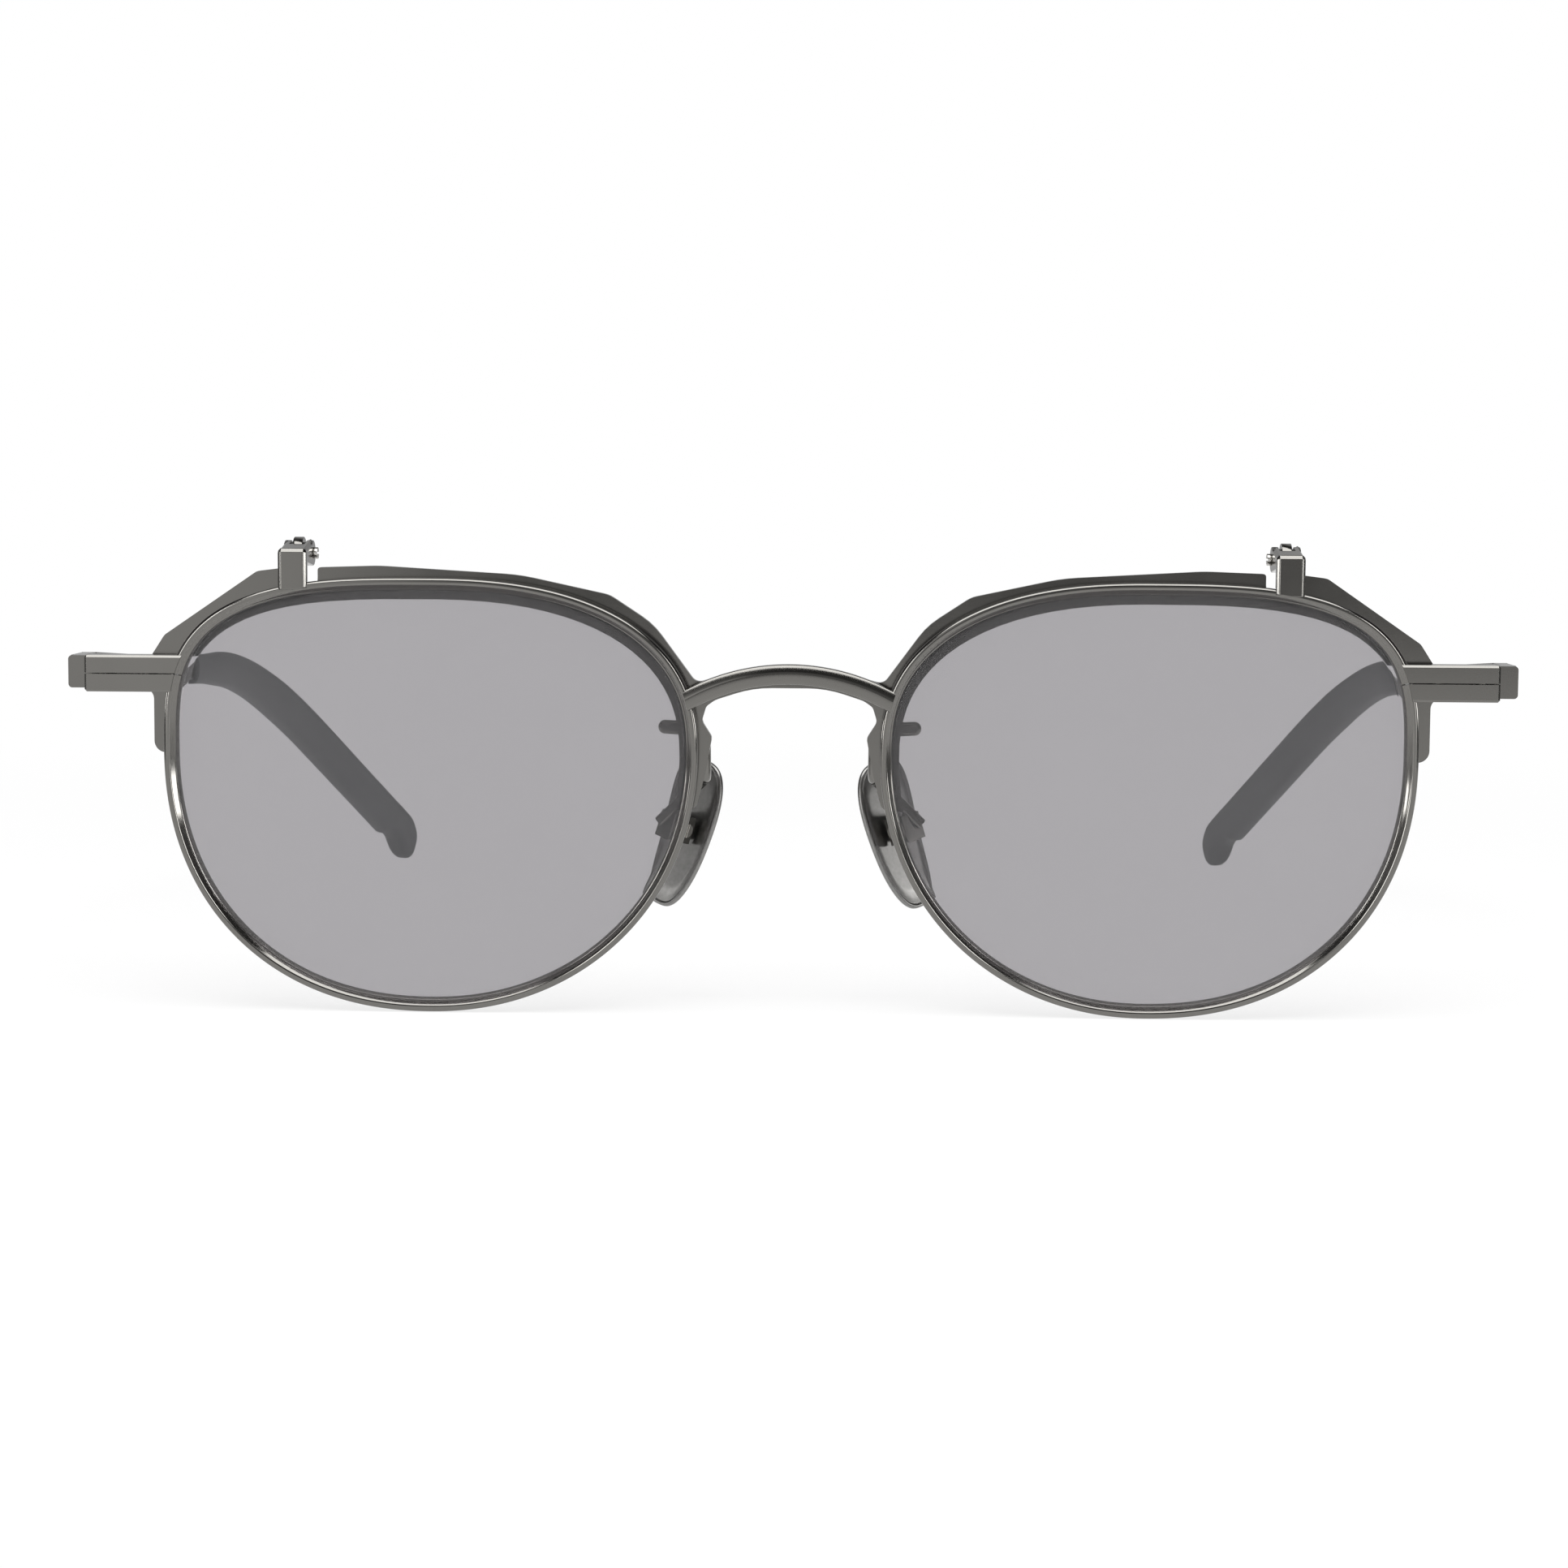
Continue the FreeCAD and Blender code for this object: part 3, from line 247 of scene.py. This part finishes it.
class Finish:
    """The node tree of one material or of the world."""

    def __init__(self, owner):
        owner.use_nodes = True
        self.owner = owner
        self.tree = owner.node_tree
        self.tree.nodes.clear()

    def node(self, kind, sockets=None, settings=None, out=0):
        """Adds a node, sets its settings, then its sockets, and gives back one output if any."""
        made = self.tree.nodes.new("ShaderNode" + kind)
        for key, value in (settings or {}).items():
            setattr(made, key, value)
        for key, value in (sockets or {}).items():
            if isinstance(value, Wire):
                self.tree.links.new(value.socket, made.inputs[key])
            else:
                made.inputs[key].default_value = value
        return Wire(self, made.outputs[out]) if len(made.outputs) else None

    def place(self):
        return self.node("TexCoord", out="Object")

    def ray(self, kind):
        """1 on light paths of this kind, otherwise 0."""
        return self.node("LightPath", out="Is " + kind + " Ray")

    def noise(self, scale, detail=3.0, stretch=(1, 1, 1)):
        spot = self.node("Mapping", {"Vector": self.place(), "Scale": stretch})
        return self.node("TexNoise", {"Vector": spot, "Scale": scale, "Detail": detail}, out="Fac")

    def colour(self, share, first, second):
        """The colour a share of the way from first to second."""
        return self.node("Mix", {0: share, 6: first, 7: second}, {"data_type": "RGBA"}, 2)

    def level(self, share, first, second):
        """The number a share of the way from first to second."""
        return self.node("Mix", {0: share, 2: first, 3: second}, {"data_type": "FLOAT"})

    def ease(self, value, start, end, before, after):
        """A number that goes smoothly from before to after while value goes from start to end."""
        return self.node("MapRange", {0: value, 1: start, 2: end, 3: before, 4: after},
                         {"interpolation_type": "SMOOTHSTEP"})

    def bump(self, height, strength, distance):
        return self.node("Bump", {"Height": height, "Strength": strength, "Distance": distance})

    def surface(self, shader, output="OutputMaterial"):
        self.node(output, {"Surface": shader})
        return self.owner


def grey(level, warm=0.0):
    return (level * (1 + warm), level, level * (1 - 2 * warm), 1.0)


def plated_metal(name, level, rough):
    """Polished plating: a faint cloudy tone, fine polishing marks, slightly uneven gloss."""
    f = Finish(bpy.data.materials.new(name))
    clouds = f.noise(scale=180.0)
    marks = f.noise(scale=2500.0, detail=2.0, stretch=(1, 1, 6))
    tone = f.colour(clouds, grey(level * 0.94, METAL_WARMTH), grey(level * 1.06, METAL_WARMTH))
    return f.surface(f.node("BsdfPrincipled", {
        "Base Color": tone,
        "Metallic": 1.0,
        "Normal": f.bump(marks, strength=0.015, distance=0.02 * MM),
        "Roughness": rough + 0.08 * (clouds - 0.5) + 0.05 * (marks - 0.5),
    }))


def satin_metal():
    """Satin pad metal: fine speckle in tone, and clouds in its gloss."""
    f = Finish(bpy.data.materials.new("satin pad metal"))
    speck = f.noise(scale=2200.0, detail=4.0)
    clouds = f.noise(scale=260.0)
    return f.surface(f.node("BsdfPrincipled", {
        "Base Color": f.colour(speck, grey(0.19, PAD_WARMTH), grey(0.29, PAD_WARMTH)),
        "Metallic": 1.0,
        "Normal": f.bump(speck, strength=0.12, distance=0.03 * MM),
        "Roughness": 0.27 + 0.1 * clouds,
    }))


def matte_plastic(name, level, warm=0.0):
    """Matte moulded plastic: a faint cloudy tone and a fine grain."""
    f = Finish(bpy.data.materials.new(name))
    grain = f.noise(scale=3200.0, detail=4.0)
    clouds = f.noise(scale=120.0)
    return f.surface(f.node("BsdfPrincipled", {
        "Base Color": f.colour(clouds, grey(level * 0.9, warm), grey(level * 1.1, warm)),
        "Normal": f.bump(grain, strength=0.1, distance=0.03 * MM),
        "Roughness": 0.42 + 0.1 * grain,
    }))


def tinted_lens():
    """Tinted lens: clear grey with a thin milky share, and the slightest cloud in both."""
    f = Finish(bpy.data.materials.new("grey tinted lens"))
    clouds = f.noise(scale=60.0)
    clear = f.node("BsdfPrincipled", {
        "Base Color": f.colour(clouds, (0.362, 0.351, 0.366, 1), (0.368, 0.357, 0.372, 1)),
        "Roughness": 0.01 * clouds,
        "IOR": 1.12,
        "Transmission Weight": 1.0,
    })
    milk = f.node("BsdfDiffuse", {"Color": f.colour(clouds, grey(0.85), grey(0.87))})
    return f.surface(f.node("MixShader", {0: MILKY_SHARE, 1: clear, 2: milk}))


def pale_floor():
    """White paper: it keeps a faint shadow near the object and looks plain white further off."""
    f = Finish(bpy.data.materials.new("pale floor"))
    seen = f.ray("Camera") + f.ray("Glossy") + f.ray("Transmission")
    away = f.node("VectorMath", {0: f.place()}, {"operation": "LENGTH"}, "Value")
    plain = f.ease(away, PLAIN_START * MM, PLAIN_END * MM, PLAIN_LEAST, 1.0)
    paper = f.node("BsdfDiffuse", {"Color": f.colour(f.noise(scale=4.0), grey(0.88), grey(0.9))})
    white = f.node("Emission", {"Strength": 1.0})
    return f.surface(f.node("MixShader", {0: plain * seen, 1: paper, 2: white}))


def studio_world():
    """White behind the object, and a room that only polished metal sees.

    The room's front is grey and brighter at the left, its sides and ceiling are dark, so that
    rounded edges show light and dark lines.
    """
    w = Finish(bpy.data.worlds.new("studio"))
    seen = w.ray("Camera") + w.ray("Transmission")
    way = w.node("TexCoord", out="Generated")
    across, back, up = (w.node("SeparateXYZ", {0: way}, out=axis) for axis in "XYZ")
    front = w.ease(across, *ROOM_FRONT)
    left = w.ease(across, *ROOM_LEFT)
    right = w.ease(across, *ROOM_RIGHT)
    ceiling = w.ease(up, *ROOM_CEILING)
    rear = w.ease(back, *ROOM_REAR)
    room = w.level(rear, ROOM_LEAST + front * left * right * ceiling, REAR_LIGHT)
    strength = w.level(seen, w.level(w.ray("Glossy"), DULL_LIGHT, room), 1.0)
    return w.surface(w.node("Background", {"Color": grey(1.0), "Strength": strength}),
                     "OutputWorld")


def in_place(x, depth, z):
    """Millimetres with depth behind the front plane, as metres in the shared frame."""
    x, depth, z = np.broadcast_arrays(x, depth, z)
    return np.stack((x, depth - HALF_DEPTH, z), -1) * MM


def skin(points, closed=True):
    """Faces over a grid of points (rows, ring, 3); a closed ring also gets a cap at both ends."""
    rows, ring = points.shape[:2]
    grid = np.arange(rows * ring).reshape(rows, ring)
    around = np.concatenate((grid, grid[:, :1]), 1) if closed else grid
    faces = np.stack((around[:-1, :-1], around[:-1, 1:], around[1:, 1:], around[1:, :-1]), -1)
    faces = faces.reshape(-1, 4).tolist()
    if closed:
        faces += [grid[0, ::-1].tolist(), grid[-1].tolist()]
    return points.reshape(-1, 3), faces


def mesh_object(name, points, faces, material):
    mesh = bpy.data.meshes.new(name)
    mesh.from_pydata(points.tolist(), [], faces)
    mesh.materials.append(material)
    made = bpy.data.objects.new(name, mesh)
    bpy.context.scene.collection.objects.link(made)
    return made


def new_piece(name, node, body, material, skins, side=1):
    """One object from several skins, in place of a solid; side -1 mirrors it to the right."""
    points = []
    faces = []
    for skin_points, skin_faces in skins:
        start = sum(len(part) for part in points)
        points.append(skin_points * (side, 1, 1))
        faces += [[start + k for k in face][::side] for face in skin_faces]
    piece = mesh_object(name, np.concatenate(points), faces, material)
    mesh = piece.data
    mesh.validate()
    mesh.polygons.foreach_set("use_smooth", np.ones(len(mesh.polygons), bool))
    mesh.set_sharp_from_angle(angle=SHARP_ANGLE)
    even = piece.modifiers.new("flat facets", "WEIGHTED_NORMAL")
    even.keep_sharp = True
    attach(piece, body)
    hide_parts(node)


def eye_outline(angle, shift):
    """One eye's outline in the front plane, seen from its middle at each angle.

    A superellipse |x/a|^n + |z/b|^n = 1 with its own b and n in each quarter, moved along
    its normal so that shift counts out from the lens edge.
    """
    c = np.cos(angle)
    s = np.sin(angle)
    high = np.where(s >= 0, CROWN, BOWL)
    power = np.where(s >= 0, np.where(c > 0, CROWN_SIDE_POWER, CROWN_NOSE_POWER),
                     np.where(c > 0, BOWL_SIDE_POWER, BOWL_NOSE_POWER))
    reach = (abs(c / HALF_WIDTH) ** power + abs(s / high) ** power) ** (-1 / power)
    x = reach * c
    z = reach * s
    nx = np.sign(x) * abs(x) ** (power - 1) / HALF_WIDTH ** power
    nz = np.sign(z) * abs(z) ** (power - 1) / high ** power
    move = (shift - RIM_WIDTH) / np.hypot(nx, nz)
    return EYE_X + x + move * nx, BOWL + z + move * nz


def rounded_oblong(steps, power):
    """A ring of points on the superellipse |x|^n + |y|^n = 1, as its x and its y."""
    angle = np.linspace(0, 2 * pi, steps, endpoint=False)
    c = np.cos(angle)
    s = np.sin(angle)
    reach = (abs(c) ** power + abs(s) ** power) ** (-1 / power)
    return reach * c, reach * s


def rim_skin():
    """The rim's section carried once round the eye, from one side of the split to the other."""
    out, depth = np.array(RIM_SECTION).T
    rise = SPLIT_LEVEL - BOWL
    start = np.arcsin((rise + SPLIT_GAP / 2) / HALF_WIDTH)
    end = np.arcsin((rise - SPLIT_GAP / 2) / HALF_WIDTH) + 2 * pi
    x, z = eye_outline(np.linspace(start, end, RIM_STEPS)[:, None], out)
    return skin(in_place(x, depth, z))


def bridge_skin():
    """The bridge's section carried along its arc, each line of it cut off on the rims' bands."""
    out, depth = np.array(BRIDGE_SECTION).T
    stretch = np.linspace(STRETCH_START, STRETCH_END, STRETCH_STEPS) * pi
    x, z = eye_outline(stretch, BRIDGE_COVER)
    far = np.hypot(x, z - BRIDGE_FOOT)[::-1]
    end = np.interp(BRIDGE_RADIUS + out, far, np.arctan2(x, z - BRIDGE_FOOT)[::-1])
    angle = np.linspace(-1, 1, BRIDGE_STEPS)[:, None] * end
    x = (BRIDGE_RADIUS + out) * np.sin(angle)
    z = BRIDGE_FOOT + (BRIDGE_RADIUS + out) * np.cos(angle)
    return skin(in_place(x, depth, z))


def lens_skin():
    """Front dome, edge ridge and back dome: rings that shrink to a small cap on either face."""
    share = np.sqrt(np.linspace(0, 1, LENS_RINGS + 1))[1:, None]
    angle = np.linspace(0, 2 * pi, LENS_STEPS, endpoint=False)
    edge_x, edge_z = eye_outline(angle, LENS_EDGE)

    def dome(part, radius, front):
        """The edge drawn in to each part of its size, on a ball with its pole at front."""
        x = EYE_X + (edge_x - EYE_X) * part
        z = LENS_MID + (edge_z - LENS_MID) * part
        gone = (x - EYE_X) ** 2 + (z - LENS_MID) ** 2
        return in_place(x, front + radius - np.sqrt(radius ** 2 - gone), z)

    front = dome(share, LENS_CURVE, LENS_FRONT)
    back = dome(share[::-1], LENS_CURVE - LENS_THICK, LENS_FRONT + LENS_THICK)
    x, z = eye_outline(angle, RIDGE_OUT)
    ridge = in_place(x, RIDGE_DEPTH, z)[None]
    return skin(np.concatenate((front, ridge, back)))


def tip_skin():
    """A rounded oblong carried down the tip: straight run, bend, droop and a hooked round end.

    The path leaves the temple's line, turns on an arc of one radius and runs on straight. The
    oblong grows round the bend; near the end its lower edge has a notch and a round hook.
    """
    root, corner, end = (np.array(spot) for spot in (TIP_ROOT, TIP_CORNER, TIP_END))
    first = (corner - root) / np.linalg.norm(corner - root)
    last = (end - corner) / np.linalg.norm(end - corner)
    whole = np.arccos(first @ last)
    inward = (last - first * (last @ first)) / np.sin(whole)
    tangent = TIP_BEND * np.tan(whole / 2)
    start = root + first * ((TIP_START - root[1]) / first[1])
    turn_in = corner - first * tangent
    hub = turn_in + TIP_BEND * inward

    # Rows: the share of the run, the angle round the bend, the way back from the end
    run = np.linspace(0, 1, RUN_ROWS)[:-1, None]
    angle = np.linspace(0, whole, BEND_ROWS)[:, None]
    droop = np.linalg.norm(end - corner) - tangent
    back = np.concatenate((np.linspace(droop, HOOK_START, RUN_ROWS)[1:],
                           np.linspace(*HOOK_ROWS), END_ROWS))[:, None]
    path = np.concatenate((
        start + (turn_in - start) * run,
        hub + (turn_in - hub) * np.cos(angle) + first * TIP_BEND * np.sin(angle),
        end - last * back))
    along = np.concatenate((
        first + 0 * run, first * np.cos(angle) + inward * np.sin(angle), last + 0 * back))
    grown = np.concatenate((
        np.interp(run, *RUN_GROWTH), np.interp(angle / whole, *BEND_GROWTH), 1 + 0 * back))
    from_end = np.concatenate((FAR_BACK + 0 * run, FAR_BACK + 0 * angle, back))

    high = MOUTH_HEIGHT + (TIP_HEIGHT - MOUTH_HEIGHT) * grown
    thick = MOUTH_THICK + (TIP_THICK - MOUTH_THICK) * grown
    thick *= np.sqrt(1 - np.clip(1 - from_end / TIP_EASE, 0, TIP_EASE_MOST) ** 2)
    over = high / 2 - np.interp(from_end, *np.array(TIP_OVER).T)
    under = high / 2 - high / TIP_HEIGHT * np.interp(from_end, *np.array(TIP_UNDER).T)

    side = np.cross(along, (0, 0, 1))
    side /= np.linalg.norm(side, axis=1, keepdims=True)
    up = np.cross(side, along)
    ring_side, ring_up = rounded_oblong(TIP_RING, TIP_POWER)
    points = (path[:, None] + side[:, None] * (ring_side * thick / 2)[..., None]
              + up[:, None] * ((over + under) / 2 + ring_up * (over - under) / 2)[..., None])
    return skin(in_place(*np.moveaxis(points, -1, 0))[:, ::-1])


def pad_frame(u, v, n):
    """Points of the pad's own frame (across, up, out of its back) in the shared frame."""
    turn = (cos(PAD_TURN), sin(PAD_TURN))
    lean = (cos(PAD_LEAN), sin(PAD_LEAN))
    across = np.array((turn[0] * lean[0], turn[1], turn[0] * lean[1]))
    up = np.array((-lean[1], 0, lean[0]))
    out = np.array((turn[1] * lean[0], -turn[0], turn[1] * lean[1]))
    points = PAD_PLACE + u[..., None] * across + v[..., None] * up + n[..., None] * out
    return in_place(*np.moveaxis(points, -1, 0))


def pad_skin():
    """The pad's bowed drop outline, drawn in and stepped in height by its section."""
    share, inset, height = np.array(PAD_SECTION).T[:, :, None]
    ring_u, ring_v = rounded_oblong(PAD_STEPS, PAD_POWER)
    rise = share * ring_v
    bow = PAD_BOW * (1 - rise ** 2)
    u = share * ring_u * (PAD_WIDTH / 2 - inset) * (1 + PAD_TAPER * rise) - bow
    v = rise * (PAD_HEIGHT / 2 - inset)
    return skin(pad_frame(u, v, height))


def tongue_skin():
    """The tongue on the pad's back: a rounded oblong drawn out, its end eased."""
    inset, height = np.array(TONGUE_SECTION).T[:, :, None]
    ring_u, ring_v = rounded_oblong(TONGUE_STEPS, TONGUE_POWER)
    u = TONGUE_PLACE[0] + ring_u * (TONGUE_SIZE[0] / 2 - inset)
    v = TONGUE_PLACE[1] + ring_v * (TONGUE_SIZE[1] / 2 - inset)
    return skin(pad_frame(u, v, height)[::-1])


def floor_skin():
    """A flat grid of points at one level."""
    return skin(in_place(np.linspace(*FLOOR_WIDTH), np.linspace(*FLOOR_DEPTH)[:, None],
                         FLOOR_LEVEL), closed=False)


def both(*names):
    """The left and the right node of each name."""
    return [name + "_" + hand for name in names for _, hand in HANDS]


def dress(names, material, bevel, keep_apart=True):
    """Puts a finish on solids as they are and rounds their edges by a fine bevel, if any.

    The bevel is in millimetres. Without keep_apart it keeps that width where short edges
    would make it narrower.
    """
    for name in names:
        solid = nodes[name]
        solid.data.materials.clear()
        solid.data.materials.append(material)
        merged = solid.modifiers.new("merged", "WELD")
        merged.merge_threshold = MERGE_REACH * MM
        flats = solid.modifiers.new("flats", "DECIMATE")
        flats.decimate_type = "DISSOLVE"
        flats.angle_limit = FLAT_ANGLE
        if bevel:
            edges = solid.modifiers.new("edges", "BEVEL")
            edges.width = bevel * MM
            edges.segments = ROUND_SEGMENTS
            edges.limit_method = "ANGLE"
            edges.angle_limit = ROUND_ANGLE
            edges.harden_normals = True
            edges.use_clamp_overlap = keep_apart


def soft_box(name, place, aim, size, level):
    """A soft box facing a point, with the power that makes its face look this bright."""
    lamp = bpy.data.lights.new(name, "AREA")
    lamp.shape = "RECTANGLE"
    lamp.size, lamp.size_y = size
    lamp.energy = level * pi * size[0] * size[1]
    box = bpy.data.objects.new(name, lamp)
    box.location = place
    box.rotation_euler = (Vector(aim) - Vector(place)).to_track_quat("-Z", "Y").to_euler()
    bpy.context.scene.collection.objects.link(box)


def photo_camera():
    """A camera that looks at its aim from one distance, turned by its roll."""
    ahead = Vector((-sin(CAMERA_AZIMUTH) * cos(CAMERA_ELEVATION),
                    cos(CAMERA_AZIMUTH) * cos(CAMERA_ELEVATION), -sin(CAMERA_ELEVATION)))
    right = Vector((cos(CAMERA_AZIMUTH), sin(CAMERA_AZIMUTH), 0))
    up = right.cross(ahead)
    rolled_right = right * cos(CAMERA_ROLL) + up * sin(CAMERA_ROLL)
    rolled_up = up * cos(CAMERA_ROLL) - right * sin(CAMERA_ROLL)
    optics = bpy.data.cameras.new("camera")
    optics.angle = 2 * atan(PICTURE / 2 / PICTURE_FOCAL)
    optics.clip_start = CAMERA_NEAREST * MM
    camera = bpy.data.objects.new("camera", optics)
    camera.matrix_world = Matrix((rolled_right, rolled_up, -ahead)).transposed().to_4x4()
    camera.matrix_world.translation = Vector(in_place(*CAMERA_AIM)) - ahead * CAMERA_FAR * MM
    bpy.context.scene.collection.objects.link(camera)
    return camera


gunmetal = plated_metal("polished gunmetal", level=0.175, rough=0.12)
plate_metal = plated_metal("brow plate gunmetal", level=0.16, rough=0.12)
steel = plated_metal("turned screw steel", level=0.5, rough=0.2)
pad_metal = satin_metal()
sleeve = matte_plastic("dark grey tip sleeve", level=0.06, warm=SLEEVE_WARMTH)
nylon = matte_plastic("black nylon washer", level=0.03)
lens_glass = tinted_lens()

for side, hand in HANDS:
    new_piece("beaded_rim_" + hand, "rim_" + hand, "flip_front", gunmetal,
              [rim_skin()], side)
    new_piece("domed_lens_" + hand, "lens_" + hand, "flip_front", lens_glass,
              [lens_skin()], side)
    new_piece("hooked_tip_" + hand, "temple_tip_" + hand, "temple_arm_" + hand, sleeve,
              [tip_skin()], side)
    new_piece("rolled_pad_" + hand, "nose_pad_" + hand, "pad_rocker_" + hand,
              pad_metal, [pad_skin(), tongue_skin()], side)
new_piece("arched_bridge", "front_bridge", "flip_front", gunmetal, [bridge_skin()])

dress(["rear_brow_plate"], plate_metal, 0.0)
dress(both("endpiece", "temple_hinge_leaf", "temple_hinge_knuckle", "temple"), gunmetal, 0.12)
dress(both("lock_block_upper", "lock_block_lower", "flip_knuckle"), gunmetal, 0.08)
dress(both("flip_bracket"), gunmetal, 0.1, keep_apart=False)
dress(both("pad_arm"), gunmetal, 0.1)
dress(["temple_hinge_screws", "nose_pad_screws", "lock_screws", "flip_hinge_screws"], steel, 0.05)
dress(["flip_hinge_washers"], nylon, 0.0)

floor = mesh_object("floor", *floor_skin(), pale_floor())
for name, settings in SOFT_BOXES.items():
    soft_box(name, *settings)
scene = bpy.context.scene
scene.world = studio_world()
scene.camera = photo_camera()
scene.view_settings.view_transform = "Standard"
